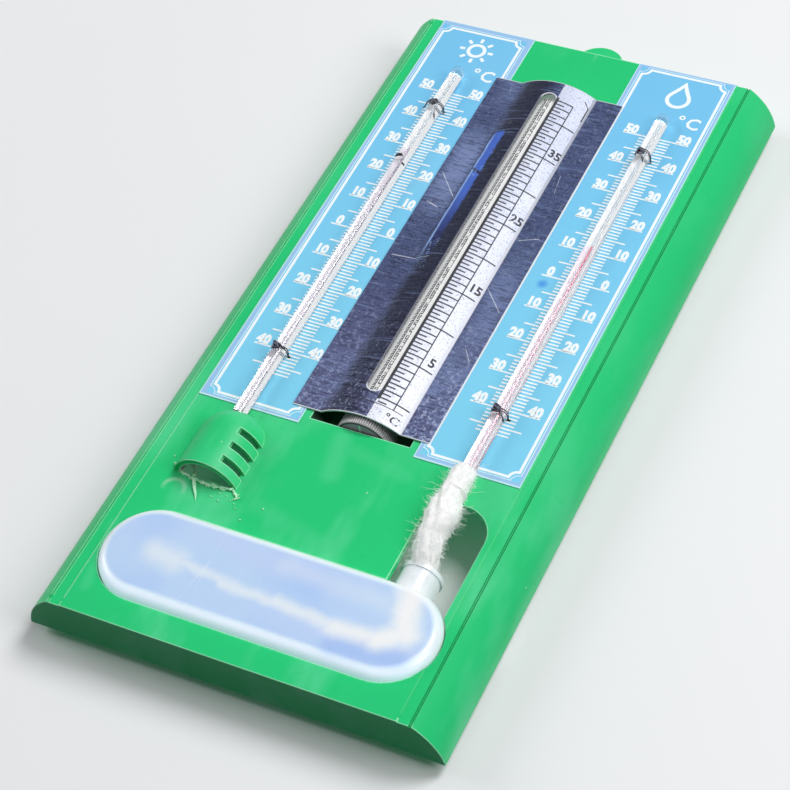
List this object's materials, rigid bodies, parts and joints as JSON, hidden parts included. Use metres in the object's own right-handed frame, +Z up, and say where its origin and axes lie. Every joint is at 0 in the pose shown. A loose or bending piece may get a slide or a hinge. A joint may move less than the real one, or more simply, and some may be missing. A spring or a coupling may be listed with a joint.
{
  "type": "wet and dry bulb hygrometer",
  "caption": "Wall-hung wet and dry bulb hygrometer: moulded board, glass thermometers on scale labels, a turning humidity table under a slotted cover, and a wick with a lift-out water bottle.",
  "frame": {"origin": "centre of the hanging hole on the wall plane, where a nail carries the board", "axes": "+Z up the board, the face looks to -Y, +X to the right seen from the front"},
  "size_m": [0.118, 0.0228, 0.2485],
  "materials": {
    "green_plastic": "glossy moulded plastic",
    "scale_print": "satin printed foil, pale blue with white print",
    "clear_glass": "clear drawn glass",
    "white_enamel": "white enamel strip in the glass",
    "red_spirit": "dyed thermometer spirit",
    "tie_wire": "thin lacquered wire",
    "cover_sheet": "thin dark-lacquered aluminium sheet, scratched, with silver print",
    "drum_card": "rolled grey card",
    "table_paper": "printed paper",
    "dark_plastic": "dark grey moulded plastic",
    "white_paint": "white paint",
    "milky_plastic": "translucent milky blue blown plastic",
    "cotton_gauze": "white cotton gauze"
  },
  "bodies": {
    "board": {"board_face": "green_plastic", "upper_end": "green_plastic", "lower_end": "green_plastic", "left_side": "green_plastic", "right_side": "green_plastic", "drum_well": "green_plastic", "bulb_guard": "green_plastic", "bottle_collar": "green_plastic", "back_ribs": "green_plastic", "dry_scale_label": "scale_print", "wet_scale_label": "scale_print", "dry_stem": "clear_glass", "wet_stem": "clear_glass", "dry_backing": "white_enamel", "wet_backing": "white_enamel", "dry_column": "red_spirit", "wet_column": "red_spirit", "dry_tie_upper": "tie_wire", "dry_tie_lower": "tie_wire", "wet_tie_upper": "tie_wire", "wet_tie_lower": "tie_wire", "drum_cover": "cover_sheet", "wick_sleeve": "cotton_gauze", "wick_tail": "cotton_gauze", "wick_thread": "cotton_gauze"},
    "drum": {"drum_tube": "drum_card", "paper_table": "table_paper", "drum_top_plug": "dark_plastic", "drum_lower_plug": "dark_plastic", "setting_knob": "dark_plastic", "knob_index": "white_paint"},
    "tank": {"water_tank": "milky_plastic"}
  },
  "joints": [
    {"name": "drum_spin", "type": "hinge", "parent": "board", "child": "drum", "pos_m": [0, -0.0083, 0], "axis": [0, 0, 1], "continuous": true},
    {"name": "tank_slide", "type": "slide", "parent": "board", "child": "tank", "axis": [0, -1, 0], "range_m": [0, 0.026], "deforming": ["wick_tail"]}
  ]
}
